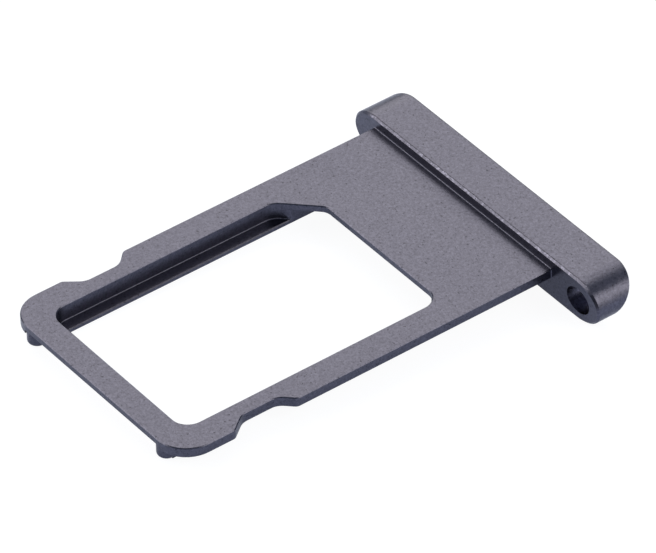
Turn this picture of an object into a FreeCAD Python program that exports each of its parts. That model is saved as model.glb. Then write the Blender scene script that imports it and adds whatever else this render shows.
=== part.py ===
import FreeCAD, Part
import math
import os
import Sketcher

# SIM card tray of a phone or tablet, one piece of metal: a flat plate with a window for the card,
# two rails under it whose inner lips are the card's ledges, two round pegs at their front ends,
# and a round-ended head bar with an eject hole, which closes the slot in the device's side.
# Millimetres. The plate's top face is z = 0, the head's front face is y = 0 with the plate in
# front of it along -Y, and x = 0 is the middle of the plate. The tray slides in along -Y.

SIZES = {
    # the card, and the gaps that the window leaves round it
    "card_length": 12.30,
    "card_width": 8.80,
    "card_thickness": 0.67,
    "card_corner_cut": 1.65,
    "card_end_gap": 0.09,
    "card_side_gap": 0.05,
    "card_top_gap": 0.11,
    "card_cut_gap": 0.15,
    "window_round": 0.75,
    "cut_back_round": 0.55,
    "cut_side_round": 0.90,
    # the plate round the window
    "front_bar": 1.17,
    "side_bar": 1.275,
    "back_plate": 4.56,
    "plate_thickness": 0.435,
    "web_thickness": 0.285,
    "corner_round": 1.40,
    "edge_break": 0.04,
    # the two side notches that a catch in the device drops into, with sloping flanks
    "notch_from_front": 2.68,
    "notch_mouth": 3.00,
    "notch_depth": 0.57,
    "notch_front_run": 0.75,
    "notch_back_run": 0.58,
    "notch_foot_round": 0.70,
    "notch_shoulder_round": 0.30,
    # the rails under the plate, and the pegs at their front ends
    "ledge_width": 0.555,
    "ledge_thickness": 0.175,
    "seat_round": 0.05,
    "rail_wall": 0.21,
    "rail_overrun": 1.15,
    "peg_diameter": 0.82,
    "peg_from_front": 0.03,
    "peg_edge_round": 0.15,
    # the head: how far it reaches past the plate on its plain side and on the hole's side, and its
    # outer face, which leans and on which its round ends are a little longer than half circles
    "head_reach_plain": 1.345,
    "head_reach_hole": 2.95,
    "head_end_stretch": 1.12,
    "head_height": 1.983,
    "head_rise": 0.499,
    "head_depth": 1.438,
    "head_lean": 35.0,
    "head_front_bevel": 0.09,
    "head_outer_bevel": 0.08,
    "root_round": 0.05,
    # the eject hole, round on the leaning face
    "hole_diameter": 1.40,
    "hole_from_end": 1.28,
    "hole_drop": 0.035,
}

# Places worked out from the sizes above.
PLACES = {
    "window_half": "Sizes.card_width / 2 + Sizes.card_side_gap",
    "window_back": "-Sizes.back_plate",
    "window_front": "-Sizes.back_plate - Sizes.card_length - 2 * Sizes.card_end_gap",
    "cut_leg": "Sizes.card_corner_cut + Sizes.card_side_gap + Sizes.card_end_gap"
    " - sqrt(2) * Sizes.card_cut_gap",
    "pocket_depth": "Sizes.card_thickness + Sizes.card_top_gap",
    "plate_half": "window_half + Sizes.side_bar",
    "plate_front": "window_front - Sizes.front_bar",
    "notch_start": "plate_front + Sizes.notch_from_front",
    "notch_end": "notch_start + Sizes.notch_mouth",
    "notch_floor": "plate_half - Sizes.notch_depth",
    "floor_start": "notch_start + Sizes.notch_front_run",
    "floor_end": "notch_end - Sizes.notch_back_run",
    "rail_depth": "pocket_depth + Sizes.ledge_thickness",
    "rail_inner": "window_half - Sizes.ledge_width",
    "rail_outer": "window_half + Sizes.rail_wall",
    "rail_back": "window_back + Sizes.rail_overrun",
    "peg_x": "(rail_inner + rail_outer) / 2",
    "peg_y": "plate_front + Sizes.peg_from_front + Sizes.peg_diameter / 2",
    "head_middle": "Sizes.head_rise - Sizes.head_height / 2",
    "head_slope": "tan(Sizes.head_lean)",
    "head_half_slope": "Sizes.head_height / 2 / cos(Sizes.head_lean)",
    "head_end_reach": "Sizes.head_end_stretch * head_half_slope",
    "head_right": "plate_half + Sizes.head_reach_hole - head_end_reach",
    "head_left": "-plate_half - Sizes.head_reach_plain + head_end_reach",
    "hole_x": "plate_half + Sizes.head_reach_hole - Sizes.hole_from_end",
}

TOUCH = 1e-4  # two places this close are the same
ORIGIN = (-1, 1)
X_AXIS = -1
Y_AXIS = -2
START, END, CENTRE = 1, 2, 3
UP = FreeCAD.Vector(0, 0, 1)
INTO_DEVICE = FreeCAD.Vector(0, -1, 0)
BOTH_SIDES = ("", "-")


def fill_sheet(doc, name, cells):
    sheet = doc.addObject("Spreadsheet::Sheet", name)
    for row, (alias, content) in enumerate(cells.items(), start=1):
        sheet.set(f"A{row}", alias)
        sheet.set(f"B{row}", content)
        sheet.setAlias(f"B{row}", alias)
    doc.recompute()
    return sheet


def worked_out(sketch, formula):
    return float(sketch.Document.Places.evalExpression(formula))


def point_at(sketch, x, y):
    return FreeCAD.Vector(worked_out(sketch, x), worked_out(sketch, y), 0)


def origin_plane(body, role):
    return next(plane for plane in body.Origin.OriginFeatures if plane.Role == role)


def new_sketch(body, name, role="XY_Plane"):
    sketch = body.newObject("Sketcher::SketchObject", name)
    sketch.AttachmentSupport = [(origin_plane(body, role), "")]
    sketch.MapMode = "FlatFace"
    return sketch


def on_outer_face(body, name):
    """A sketch on the head's leaning outer face: x runs along the head, y up the slope."""
    sketch = new_sketch(body, name, "XZ_Plane")
    lean = FreeCAD.Rotation(FreeCAD.Vector(-1, 0, 0), 1.0)
    sketch.AttachmentOffset = FreeCAD.Placement(FreeCAD.Vector(), lean)
    sketch.setExpression(".AttachmentOffset.Base.y", "Places.head_middle")
    sketch.setExpression(".AttachmentOffset.Base.z", "-Sizes.head_depth")
    sketch.setExpression(".AttachmentOffset.Rotation.Angle", "Sizes.head_lean")
    return sketch


def dimension(sketch, kind, *targets, formula):
    value = worked_out(sketch, formula)
    index = sketch.addConstraint(Sketcher.Constraint(kind, *targets, value))
    sketch.setExpression(f"Constraints[{index}]", formula)


def place(sketch, shape, end, x, y):
    """Ties a point of a shape in the sketch to a place given by two formulas."""
    for kind, axis, formula in (("DistanceX", Y_AXIS, x), ("DistanceY", X_AXIS, y)):
        if formula == "0":
            sketch.addConstraint(Sketcher.Constraint("PointOnObject", shape, end, axis))
        else:
            dimension(sketch, kind, *ORIGIN, shape, end, formula=formula)


def circle(sketch, x, y, diameter):
    radius = worked_out(sketch, diameter) / 2
    ring = sketch.addGeometry(Part.Circle(point_at(sketch, x, y), UP, radius))
    place(sketch, ring, CENTRE, x, y)
    dimension(sketch, "Diameter", ring, formula=diameter)


def straight_outline(sketch, corners):
    """A closed outline through corners, each a pair of formulas."""
    points = [point_at(sketch, x, y) for x, y in corners]
    lines = [
        sketch.addGeometry(Part.LineSegment(here, there))
        for here, there in zip(points, points[1:] + points[:1])
    ]
    for line, following, (x, y) in zip(lines, lines[1:] + lines[:1], corners):
        sketch.addConstraint(Sketcher.Constraint("Coincident", line, END, following, START))
        place(sketch, line, START, x, y)


def round_outline(sketch, corners):
    """A closed convex outline, anticlockwise, through corners given as x, y and radius."""
    points = [point_at(sketch, x, y) for x, y, _ in corners]
    count = len(corners)
    marks, arcs, starts, ends = [], [], [], []
    for index, (x, y, rounding) in enumerate(corners):
        corner = points[index]
        back = (points[index - 1] - corner).normalize()
        ahead = (points[(index + 1) % count] - corner).normalize()
        radius = worked_out(sketch, rounding)
        half_angle = back.getAngle(ahead) / 2
        centre = corner + (back + ahead).normalize() * (radius / math.sin(half_angle))
        ends.append(corner + back * (radius / math.tan(half_angle)))
        starts.append(corner + ahead * (radius / math.tan(half_angle)))
        turn = [math.atan2((p - centre).y, (p - centre).x) for p in (ends[-1], starts[-1])]
        mark = sketch.addGeometry(Part.Point(corner), True)
        arc = sketch.addGeometry(Part.ArcOfCircle(Part.Circle(centre, UP, radius), *turn))
        place(sketch, mark, START, x, y)
        dimension(sketch, "Radius", arc, formula=rounding)
        marks.append(mark)
        arcs.append(arc)
    for index in range(count):
        after = (index + 1) % count
        line = sketch.addGeometry(Part.LineSegment(starts[index], ends[after]))
        sketch.addConstraint(Sketcher.Constraint("PointOnObject", marks[index], START, line))
        sketch.addConstraint(Sketcher.Constraint("PointOnObject", marks[after], START, line))
        sketch.addConstraint(Sketcher.Constraint("Tangent", arcs[index], END, line, START))
        sketch.addConstraint(Sketcher.Constraint("Tangent", line, END, arcs[after], START))


def round_ended_outline(sketch, left, right, end_reach, half_height):
    """A bar along x whose ends are half ellipses with their centres at y = 0."""
    reach = FreeCAD.Vector(worked_out(sketch, end_reach), 0, 0)
    up = FreeCAD.Vector(0, worked_out(sketch, half_height), 0)
    quarter = math.pi / 2
    centres = [point_at(sketch, left, "0"), point_at(sketch, right, "0")]
    turns = [(quarter, 3 * quarter), (-quarter, quarter)]
    arcs = []
    for formula, centre, turn in zip((left, right), centres, turns):
        whole = Part.Ellipse(centre + reach, centre + up, centre)
        arc = sketch.addGeometry(Part.ArcOfEllipse(whole, *turn))
        sketch.exposeInternalGeometry(arc)
        long_axis, short_axis = arc + 1, arc + 2
        place(sketch, arc, CENTRE, formula, "0")
        sketch.addConstraint(Sketcher.Constraint("Horizontal", long_axis))
        dimension(sketch, "Distance", long_axis, formula=f"2 * {end_reach}")
        dimension(sketch, "Distance", short_axis, formula=f"2 * {half_height}")
        for end in (START, END):
            sketch.addConstraint(Sketcher.Constraint("PointOnObject", arc, end, short_axis))
        arcs.append(arc)
    for side, left_end, right_end in ((up, START, END), (-up, END, START)):
        line = sketch.addGeometry(Part.LineSegment(centres[0] + side, centres[1] + side))
        sketch.addConstraint(Sketcher.Constraint("Coincident", line, START, arcs[0], left_end))
        sketch.addConstraint(Sketcher.Constraint("Coincident", line, END, arcs[1], right_end))


def pad(body, name, sketch, depth):
    """Material from the sketch's plane down to a depth below it."""
    feature = body.newObject("PartDesign::Pad", name)
    feature.Profile = sketch
    feature.Reversed = True
    feature.setExpression("Length", depth)
    body.Document.recompute()
    return feature


def pocket(body, name, sketch, depth=None):
    """A cut from the sketch's plane down to a depth below it, or right through."""
    before = body.Shape.Volume
    feature = body.newObject("PartDesign::Pocket", name)
    feature.Profile = sketch
    if depth:
        feature.setExpression("Length", depth)
    else:
        feature.Type = "ThroughAll"
    body.Document.recompute()
    if feature.Shape.Volume >= before - TOUCH:
        raise RuntimeError(f"{name} cuts nothing")
    return feature


def edges_where(feature, test):
    """Names of the edges all of whose points pass the test."""
    return [
        f"Edge{number}"
        for number, edge in enumerate(feature.Shape.Edges, start=1)
        if all(test(point) for point in edge.discretize(5))
    ]


def upright_edges(feature, *corners):
    """Names of the upright edges at plan corners, each a pair of x and y."""
    return edges_where(
        feature,
        lambda p: any(abs(p.x - x) < TOUCH and abs(p.y - y) < TOUCH for x, y in corners),
    )


def dress(body, kind, name, base, edges, size, formula):
    """A fillet or chamfer on named edges, with its size tied to the sheet."""
    feature = body.newObject(f"PartDesign::{kind}", name)
    feature.Base = (base, edges)
    feature.setExpression(size, formula)
    body.Document.recompute()
    return feature


def head(body, places):
    """The head bar, pushed along -Y from its leaning face to y = 0, with its bevels and hole."""
    outline = on_outer_face(body, "HeadOutline")
    left, right = "Places.head_left", "Places.head_right"
    round_ended_outline(outline, left, right, "Places.head_end_reach", "Places.head_half_slope")
    bar = body.newObject("PartDesign::Pad", "HeadBar")
    bar.Profile = outline
    bar.UseCustomVector = True
    bar.Direction = INTO_DEVICE
    bar.Type = "UpToFace"
    bar.UpToFace = (origin_plane(body, "XZ_Plane"), [""])
    body.Document.recompute()

    front = edges_where(bar, lambda p: abs(p.y) < TOUCH)
    bar = dress(body, "Chamfer", "HeadFrontBevel", bar, front, "Size", "Sizes.head_front_bevel")

    def on_leaning_face(p):
        rise = (p.z - places.head_middle) * places.head_slope
        return abs(p.y - body.Document.Sizes.head_depth - rise) < TOUCH

    outer = edges_where(bar, on_leaning_face)
    bar = dress(body, "Chamfer", "HeadOuterBevel", bar, outer, "Size", "Sizes.head_outer_bevel")

    hole = on_outer_face(body, "HoleOutline")
    circle(hole, "Places.hole_x", "-Sizes.hole_drop", "Sizes.hole_diameter")
    cut = body.newObject("PartDesign::Pocket", "EjectHole")
    cut.Profile = hole
    cut.UseCustomVector = True
    cut.Direction = INTO_DEVICE
    cut.Type = "ThroughAll"
    body.Document.recompute()
    return cut


def plate(body, places):
    """The flat plate with its round corners and side notches; its back edge joins the head."""
    half, front = "Places.plate_half", "Places.plate_front"
    outline = new_sketch(body, "PlateOutline")
    straight_outline(outline, [(half, front), (half, "0"), (f"-{half}", "0"), (f"-{half}", front)])
    shape = pad(body, "Plate", outline, "Sizes.plate_thickness")

    thickness = body.Document.Sizes.plate_thickness

    def at_root(p):
        in_plate = abs(p.x) < places.plate_half + TOUCH and -thickness - TOUCH < p.z < TOUCH
        return abs(p.y) < TOUCH and in_plate

    root = edges_where(shape, at_root)
    shape = dress(body, "Fillet", "RootRound", shape, root, "Radius", "Sizes.root_round")
    corners = [(side * places.plate_half, places.plate_front) for side in (-1, 1)]
    edges = upright_edges(shape, *corners)
    shape = dress(body, "Fillet", "CornerRound", shape, edges, "Radius", "Sizes.corner_round")

    outline = new_sketch(body, "NotchOutline")
    for side in BOTH_SIDES:
        straight_outline(
            outline,
            [
                (f"{side}Places.plate_half", "Places.notch_start"),
                (f"{side}Places.notch_floor", "Places.floor_start"),
                (f"{side}Places.notch_floor", "Places.floor_end"),
                (f"{side}Places.plate_half", "Places.notch_end"),
            ],
        )
    shape = pocket(body, "Notches", outline)
    feet, shoulders = [], []
    for side in (-1, 1):
        feet.append((side * places.notch_floor, places.floor_start))
        feet.append((side * places.notch_floor, places.floor_end))
        shoulders.append((side * places.plate_half, places.notch_start))
        shoulders.append((side * places.plate_half, places.notch_end))
    edges = upright_edges(shape, *feet)
    shape = dress(body, "Fillet", "NotchFeet", shape, edges, "Radius", "Sizes.notch_foot_round")
    edges = upright_edges(shape, *shoulders)
    size = "Sizes.notch_shoulder_round"
    return dress(body, "Fillet", "NotchShoulders", shape, edges, "Radius", size)


def underside(body, places):
    """The thinner web between the rails, then the two pegs and the rails behind them."""
    outline = new_sketch(body, "WebOutline")
    outline.setExpression(".AttachmentOffset.Base.z", "-Sizes.web_thickness")
    side, front = "Places.window_half", "Places.plate_front"
    straight_outline(outline, [(side, front), (side, "0"), (f"-{side}", "0"), (f"-{side}", front)])
    pocket(body, "WebRelief", outline)

    outline = new_sketch(body, "PegOutline")
    for side in BOTH_SIDES:
        circle(outline, f"{side}Places.peg_x", "Places.peg_y", "Sizes.peg_diameter")
    pegs = pad(body, "Pegs", outline, "Places.rail_depth")
    edges = edges_where(
        pegs, lambda p: abs(p.z + places.rail_depth) < TOUCH and p.y < places.window_front
    )
    dress(body, "Fillet", "PegRound", pegs, edges, "Radius", "Sizes.peg_edge_round")

    outline = new_sketch(body, "RailOutline")
    for side in BOTH_SIDES:
        straight_outline(
            outline,
            [
                (f"{side}Places.rail_inner", "Places.peg_y"),
                (f"{side}Places.rail_outer", "Places.peg_y"),
                (f"{side}Places.rail_outer", "Places.rail_back"),
                (f"{side}Places.rail_inner", "Places.rail_back"),
            ],
        )
    return pad(body, "Rails", outline, "Places.rail_depth")


def card_window(body):
    """The card's pocket: it opens the web right through and stops at the ledges on the rails."""
    half, front, back = "Places.window_half", "Places.window_front", "Places.window_back"
    outline = new_sketch(body, "WindowOutline")
    round_outline(
        outline,
        [
            (half, front, "Sizes.window_round"),
            (half, back, "Sizes.window_round"),
            (f"Places.cut_leg - {half}", back, "Sizes.cut_back_round"),
            (f"-{half}", f"{back} - Places.cut_leg", "Sizes.cut_side_round"),
            (f"-{half}", front, "Sizes.window_round"),
        ],
    )
    return pocket(body, "CardWindow", outline, "Places.pocket_depth")


def dress_ledges(body, places, shape):
    """The small round at the foot of the card's pocket, and the broken inner edges of the ledges."""

    def at_seat(p):
        return abs(p.z + places.pocket_depth) < TOUCH

    def at_inner_edge(p):
        return at_seat(p) and abs(abs(p.x) - places.rail_inner) < TOUCH

    inner = edges_where(shape, at_inner_edge)
    foot = [name for name in edges_where(shape, at_seat) if name not in inner]
    shape = dress(body, "Fillet", "SeatRound", shape, foot, "Radius", "Sizes.seat_round")
    inner = edges_where(shape, at_inner_edge)
    return dress(body, "Chamfer", "LedgeBreak", shape, inner, "Size", "Sizes.edge_break")


def break_top_edges(body, places, shape):
    """The plate's top edges are broken, apart from where they meet the head."""
    edges = edges_where(shape, lambda p: abs(p.z) < TOUCH and p.y < -TOUCH)
    return dress(body, "Chamfer", "EdgeBreak", shape, edges, "Size", "Sizes.edge_break")


def write_out(doc, body):
    for item in doc.Objects:
        if "Invalid" in item.State or "Error" in item.State:
            raise RuntimeError(f"{item.Name} is {item.State}")
    if body.Shape.isNull() or not body.Shape.isValid() or len(body.Shape.Solids) != 1:
        raise RuntimeError("the tray isn't one valid solid")
    os.makedirs("parts", exist_ok=True)
    body.Shape.exportStep(f"parts/{body.Label}.step")


def main():
    doc = FreeCAD.newDocument("SimTray")
    fill_sheet(doc, "Sizes", {name: str(size) for name, size in SIZES.items()})
    places = fill_sheet(doc, "Places", {name: f"={formula}" for name, formula in PLACES.items()})
    body = doc.addObject("PartDesign::Body", "Tray")
    body.Label = "sim_tray"
    head(body, places)
    plate(body, places)
    underside(body, places)
    shape = card_window(body)
    shape = dress_ledges(body, places, shape)
    break_top_edges(body, places, shape)
    doc.recompute()
    write_out(doc, body)


main()
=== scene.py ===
import math

import bpy
from mathutils import Euler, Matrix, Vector


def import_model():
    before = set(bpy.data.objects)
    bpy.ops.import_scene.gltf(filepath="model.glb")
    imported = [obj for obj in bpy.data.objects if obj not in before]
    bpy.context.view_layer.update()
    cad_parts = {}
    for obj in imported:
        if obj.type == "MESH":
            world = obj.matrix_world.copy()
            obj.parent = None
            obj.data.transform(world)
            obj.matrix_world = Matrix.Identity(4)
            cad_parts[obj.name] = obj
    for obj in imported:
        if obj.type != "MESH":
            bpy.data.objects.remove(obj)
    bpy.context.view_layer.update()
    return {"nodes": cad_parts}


MM = 0.001

# The photograph's camera, worked out from the tray's outline.
IMAGE_WIDTH = 656
FOCAL_PIXELS = 7761.0
SENSOR_WIDTH = 36.0
CAMERA_PLACE_MM = (189.727, -146.272, 195.220)
CAMERA_TURN_DEG = (50.2474, 1.1037, 52.7443)
CAMERA_NEAR_AND_FAR = (0.01, 10.0)

# Studio light. Each panel stands at a heading from +X towards +Y and a height above the horizon, at
# this distance from the tray, and faces it. Its spread is the angles that it fills across and up,
# and its brightness is that of a white screen lit at strength 1.
PANEL_DISTANCE_MM = 400.0
PANELS = {
    "back_left_panel": {"heading": 150, "height": 37, "spread": (70, 46), "brightness": 2.5},
    "front_left_panel": {"heading": 234, "height": 27, "spread": (42, 28), "brightness": 3.5},
    "back_right_panel": {"heading": 34, "height": 36, "spread": (32, 30), "brightness": 3.3},
    "low_right_panel": {"heading": 30, "height": 6, "spread": (90, 26), "brightness": 0.9},
    "front_right_panel": {"heading": 326, "height": 14, "spread": (46, 28), "brightness": 0.9},
}
PANEL_COLOUR = (1.0, 0.935, 0.82)
SKY_COLOUR = (0.70, 0.80, 1.0)
SKY_STRENGTH = 0.34

# The floor, and where the tray touches it, as (y, z): the pegs' front and the head's lower front
# edge. SEEN_WHITE and SEEN_BLUISH say how much of it the camera and the metal see as glowing.
FLOOR_HALF_MM = 600
PEG_REST_MM = (-17.9, -0.955)
HEAD_REST_MM = (0.1, -1.484)
FLOOR_COLOUR = (0.78, 0.84, 0.98)
WHITE = {"colour": (1.0, 1.0, 1.0), "strength": 1.11}
SEEN_WHITE = 0.84
BLUISH = {"colour": (0.84, 0.88, 1.0), "strength": 1.45}
SEEN_BLUISH = 0.30

# The metal's finish. A pair of ranges carries the values in the first onto the second.
METAL_COLOUR = (0.0835, 0.0845, 0.1145)
GRAIN_TURN = (0.6, 0.8, 0.4)  # radians, so that no face cuts the noise along its own grid
GRAIN = {"scale": 8500.0, "detail": 3.0, "roughness": 0.9}
PITS = {"scale": 10200.0, "detail": 0.0}
CLOUDS = {"scale": 420.0, "detail": 3.0, "roughness": 0.55}
CHIPS = {"scale": 5500.0, "detail": 2.0, "roughness": 0.6}
GRAIN_TONE = ((0.28, 0.72), (0.65, 1.35))
PIT_TONE = ((0.18, 0.28), (0.50, 1.0))
CLOUD_TONE = ((0.3, 0.7), (0.97, 1.03))
CLOUD_ROUGHNESS = ((0.3, 0.7), (0.28, 0.35))
CHIP_GAIN = ((0.52, 0.62), (0.0, 0.75))
BUMP_STRENGTH = 0.5
BUMP_DEPTH_MM = 0.012

# Where the colour differs: chipped wear on the head's top bevels, painted shade along the top of
# those bevels, on the ledges and on the head's right rim, and painted light in the eject hole.
# In a fade, a share is 0 at the first value and 1 at the second.
HEAD_TOP_FADE_MM = (0.39, 0.41)
TOP_BEVEL_FADE = (0.88, 0.84)
# painted shade: a fine dark line where the head's top meets its bevels
LINE_FADE_MM = (0.43, 0.46)
LINE_RADIUS_MM = 0.07
LINE_PAINTED_SHADE = ((0.998, 0.965), (0.0, -0.85))
# painted shade on the ledges' tops, darkest on their broken edges
LEDGE_FADE_MM = (-0.755, -0.775)
LEDGE_UP_FADE = (0.5, 0.6)
LEDGE_PAINTED_SHADE = ((0.75, 0.95), (-0.55, -0.25))
# painted shade in a dark line on the front bevel of the head's right end
RIM_RIGHT_FADE = (0.2, 0.3)
RIM_FRONT_FADE = (-0.6, -0.65)
RIM_TOP_FADE = (0.65, 0.56)
RIM_PAINTED_SHADE = ((0.17, 0.32), (0.0, -0.6))

# The eject hole runs along Y: its middle as (x, z), and its half sizes across and up.
HOLE_MIDDLE_MM = (7.395, -0.521)
HOLE_HALF_MM = (0.70, 0.573)
HOLE_NEAR_FADE = (1.10, 1.05)
# painted light on the eject hole's wall
HOLE_PAINTED_LIGHT = ((0.5, 0.4), (0.0, 0.75))

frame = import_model()


def node(tree, kind, **inputs):
    """A shader node with its named settings or input values."""
    made = tree.nodes.new(kind)
    for name, value in inputs.items():
        if hasattr(made, name):
            setattr(made, name, value)
        else:
            made.inputs[name].default_value = value
    return made


def new_material(name):
    material = bpy.data.materials.new(name)
    material.use_nodes = True
    tree = material.node_tree
    tree.nodes.clear()
    return material, tree


def show(tree, shader):
    """Ends a material with this shader on its surface."""
    output = node(tree, "ShaderNodeOutputMaterial")
    tree.links.new(shader, output.inputs["Surface"])


def calculated(tree, operation, *values):
    """The result of an operation on sockets or plain numbers."""
    made = node(tree, "ShaderNodeMath", operation=operation)
    for socket, value in zip(made.inputs, values):
        if isinstance(value, bpy.types.NodeSocket):
            tree.links.new(value, socket)
        else:
            socket.default_value = value
    return made.outputs[0]


def product(tree, first, *others):
    for other in others:
        first = calculated(tree, "MULTIPLY", first, other)
    return first


def one_and(tree, *shares):
    """1 plus the product of the shares."""
    return calculated(tree, "ADD", product(tree, *shares), 1.0)


def mapped(tree, value, values, results):
    """The value with values[0]..values[1] carried onto results[0]..results[1]."""
    mapping = node(tree, "ShaderNodeMapRange")
    mapping.inputs["From Min"].default_value, mapping.inputs["From Max"].default_value = values
    mapping.inputs["To Min"].default_value, mapping.inputs["To Max"].default_value = results
    tree.links.new(value, mapping.inputs["Value"])
    return mapping.outputs[0]


def faded(tree, value, fade):
    """0 up to the fade's first value, and 1 from its second one on."""
    return mapped(tree, value, fade, (0.0, 1.0))


def faded_by_height(tree, height, fade_mm):
    return faded(tree, height, [value * MM for value in fade_mm])


def noise(tree, place, scale, detail, roughness=0.5):
    made = node(tree, "ShaderNodeTexNoise", Scale=scale, Detail=detail, Roughness=roughness)
    tree.links.new(place, made.inputs["Vector"])
    return made.outputs["Fac"]


def split(tree, vector):
    """The X, Y and Z sockets of a vector."""
    parts = node(tree, "ShaderNodeSeparateXYZ")
    tree.links.new(vector, parts.inputs[0])
    return parts.outputs


def edge_turn(tree, normal, radius_mm):
    """The cosine of the angle between the surface's normal and that of a surface rounded to this
    radius: 1 on the faces, and less near an edge or a crease."""
    rounded = node(tree, "ShaderNodeBevel", samples=8, Radius=radius_mm * MM)
    along = node(tree, "ShaderNodeVectorMath", operation="DOT_PRODUCT")
    tree.links.new(rounded.outputs["Normal"], along.inputs[0])
    tree.links.new(normal, along.inputs[1])
    return along.outputs["Value"]


def edge_wear(tree, place, height, facing):
    """A factor that is 1 on the faces and rises in specks along the head's top bevels, where the
    finish is chipped. These bevels are the only surfaces at their height that lean this much."""
    high = faded_by_height(tree, height, HEAD_TOP_FADE_MM)
    steep = faded(tree, facing["Z"], TOP_BEVEL_FADE)
    specks = mapped(tree, noise(tree, place, **CHIPS), *CHIP_GAIN)
    return one_and(tree, high, steep, specks)


def painted_bevel_shade(tree, height, normal):
    """A factor that is 1, and less in a fine line of painted shade where the head's top meets its
    bevels.
    """
    edge = mapped(tree, edge_turn(tree, normal, LINE_RADIUS_MM), *LINE_PAINTED_SHADE)
    high = faded_by_height(tree, height, LINE_FADE_MM)
    return one_and(tree, edge, high)


def painted_ledge_shade(tree, height, facing):
    """A factor that is 1, and less on the tops of the card's ledges and least on their broken
    edges: painted shade, darker than the rest of the metal."""
    low = faded_by_height(tree, height, LEDGE_FADE_MM)
    upward = faded(tree, facing["Z"], LEDGE_UP_FADE)
    painted_darkening = mapped(tree, facing["Z"], *LEDGE_PAINTED_SHADE)
    return one_and(tree, low, upward, painted_darkening)


def painted_rim_shade(tree, facing):
    """A factor that is 1, and less on the front bevel of the head's right end, in a dark line of
    painted shade. No other surface leans the same way."""
    right = faded(tree, facing["X"], RIM_RIGHT_FADE)
    front = faded(tree, facing["Y"], RIM_FRONT_FADE)
    below_top = faded(tree, facing["Z"], RIM_TOP_FADE)
    painted_darkening = mapped(tree, facing["Z"], *RIM_PAINTED_SHADE)
    return one_and(tree, right, front, below_top, painted_darkening)


def painted_hole_light(tree, place, facing):
    """A factor that is 1, and more on the wall of the eject hole: painted light, lighter than the
    light in the hole alone makes it."""
    across, up = (1 / (half * MM) for half in HOLE_HALF_MM)
    middle_x, middle_z = (middle * MM for middle in HOLE_MIDDLE_MM)
    scaled = node(tree, "ShaderNodeMapping", Scale=(across, 0.0, up))
    scaled.inputs["Location"].default_value = (-middle_x * across, 0.0, -middle_z * up)
    tree.links.new(place, scaled.inputs["Vector"])
    reach = node(tree, "ShaderNodeVectorMath", operation="LENGTH")
    tree.links.new(scaled.outputs["Vector"], reach.inputs[0])
    near = faded(tree, reach.outputs["Value"], HOLE_NEAR_FADE)
    wall = mapped(tree, calculated(tree, "ABSOLUTE", facing["Y"]), *HOLE_PAINTED_LIGHT)
    return one_and(tree, near, wall)


def anodised():
    """Dark grey anodised metal: blasted grain, pits and faint clouding, with chipped wear on the
    head's top bevels, painted shade along the top of those bevels, on the ledges and on the head's
    right rim, and painted light on the eject hole's wall."""
    material, tree = new_material("anodised_aluminium")
    link = tree.links.new
    place = node(tree, "ShaderNodeTexCoord").outputs["Object"]
    normal = node(tree, "ShaderNodeNewGeometry").outputs["True Normal"]
    height = split(tree, place)["Z"]
    facing = split(tree, normal)

    turned = node(tree, "ShaderNodeMapping", Rotation=GRAIN_TURN)
    link(place, turned.inputs["Vector"])
    grain, clouds, pits = (
        noise(tree, turned.outputs["Vector"], **pattern) for pattern in (GRAIN, CLOUDS, PITS)
    )
    # grain, pits, clouds and chipped wear, times painted shade (bevel line, ledges, right rim) and
    # painted light (eject hole)
    shade = product(
        tree,
        mapped(tree, grain, *GRAIN_TONE),
        mapped(tree, clouds, *CLOUD_TONE),
        mapped(tree, pits, *PIT_TONE),
        edge_wear(tree, place, height, facing),
        painted_bevel_shade(tree, height, normal),
        painted_ledge_shade(tree, height, facing),
        painted_hole_light(tree, place, facing),
        painted_rim_shade(tree, facing),
    )

    colour = node(tree, "ShaderNodeVectorMath", operation="SCALE")
    colour.inputs[0].default_value = METAL_COLOUR
    link(shade, colour.inputs["Scale"])
    bump = node(tree, "ShaderNodeBump", Strength=BUMP_STRENGTH, Distance=BUMP_DEPTH_MM * MM)
    link(grain, bump.inputs["Height"])
    shader = node(tree, "ShaderNodeBsdfPrincipled", Metallic=1.0)
    link(colour.outputs["Vector"], shader.inputs["Base Color"])
    link(mapped(tree, clouds, *CLOUD_ROUGHNESS), shader.inputs["Roughness"])
    link(bump.outputs["Normal"], shader.inputs["Normal"])
    show(tree, shader.outputs["BSDF"])
    return material


def glow(tree, colour, strength):
    return node(tree, "ShaderNodeEmission", Color=(*colour, 1), Strength=strength).outputs[0]


def blend(tree, ray, share, plain, glowing):
    """The plain shader, with this share of the glowing one where the ray is of the given kind."""
    mixed = node(tree, "ShaderNodeMixShader")
    tree.links.new(product(tree, ray, share), mixed.inputs["Fac"])
    tree.links.new(plain, mixed.inputs[1])
    tree.links.new(glowing, mixed.inputs[2])
    return mixed.outputs[0]


def pale_floor():
    """To the eye it is white with a faint shadow, in the metal it shows a little bluer, and to
    every other ray it is a pale card lit by the panels."""
    material, tree = new_material("pale_floor")
    ray = node(tree, "ShaderNodeLightPath").outputs
    card = node(tree, "ShaderNodeBsdfDiffuse", Color=(*FLOOR_COLOUR, 1)).outputs[0]
    reflected = calculated(tree, "ADD", ray["Is Glossy Ray"], ray["Is Transmission Ray"])
    in_metal = blend(tree, reflected, SEEN_BLUISH, card, glow(tree, **BLUISH))
    show(tree, blend(tree, ray["Is Camera Ray"], SEEN_WHITE, in_metal, glow(tree, **WHITE)))
    return material


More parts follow.
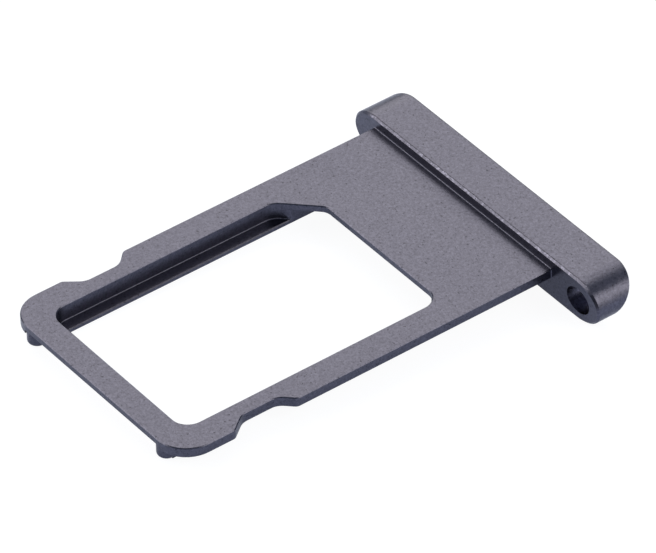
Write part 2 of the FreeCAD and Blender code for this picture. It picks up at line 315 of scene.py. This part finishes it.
def floor():
    """The floor that the tray rests on. It leans a little, because the tray stands on its two pegs
    and on the head's lower front edge."""
    half = FLOOR_HALF_MM * MM
    slope = (HEAD_REST_MM[1] - PEG_REST_MM[1]) / (HEAD_REST_MM[0] - PEG_REST_MM[0])
    corners = [
        (x, y, HEAD_REST_MM[1] * MM + slope * (y - HEAD_REST_MM[0] * MM))
        for x, y in ((-half, -half), (half, -half), (half, half), (-half, half))
    ]
    mesh = bpy.data.meshes.new("floor")
    mesh.from_pydata(corners, [], [(0, 1, 2, 3)])
    mesh.materials.append(pale_floor())
    obj = bpy.data.objects.new("floor", mesh)
    bpy.context.scene.collection.objects.link(obj)


def world():
    sky = bpy.data.worlds.new("studio")
    bpy.context.scene.world = sky
    sky.use_nodes = True
    background = sky.node_tree.nodes["Background"]
    background.inputs["Color"].default_value = (*SKY_COLOUR, 1)
    background.inputs["Strength"].default_value = SKY_STRENGTH


def lights():
    """The soft panels. A panel's power is its brightness times pi times its area."""
    distance = PANEL_DISTANCE_MM * MM
    for name, panel in PANELS.items():
        heading = math.radians(panel["heading"])
        height = math.radians(panel["height"])
        level = math.cos(height)
        towards = Vector((level * math.cos(heading), level * math.sin(heading), math.sin(height)))
        width, tall = (
            2 * distance * math.tan(math.radians(spread) / 2) for spread in panel["spread"]
        )
        lamp = bpy.data.lights.new(name, "AREA")
        lamp.shape = "RECTANGLE"
        lamp.size, lamp.size_y = width, tall
        lamp.energy = panel["brightness"] * math.pi * width * tall
        lamp.color = PANEL_COLOUR
        obj = bpy.data.objects.new(name, lamp)
        obj.location = towards * distance
        obj.rotation_euler = (-towards).to_track_quat("-Z", "Y").to_euler()
        bpy.context.scene.collection.objects.link(obj)


def camera():
    data = bpy.data.cameras.new("camera")
    data.sensor_fit = "HORIZONTAL"
    data.sensor_width = SENSOR_WIDTH
    data.lens = FOCAL_PIXELS / IMAGE_WIDTH * SENSOR_WIDTH
    data.clip_start, data.clip_end = CAMERA_NEAR_AND_FAR
    obj = bpy.data.objects.new("camera", data)
    obj.location = Vector(CAMERA_PLACE_MM) * MM
    obj.rotation_euler = Euler([math.radians(angle) for angle in CAMERA_TURN_DEG], "XYZ")
    bpy.context.scene.collection.objects.link(obj)
    bpy.context.scene.camera = obj


tray = frame["nodes"]["sim_tray"]
tray.data.materials[0] = anodised()
floor()
world()
lights()
camera()
bpy.context.scene.view_settings.view_transform = "Standard"
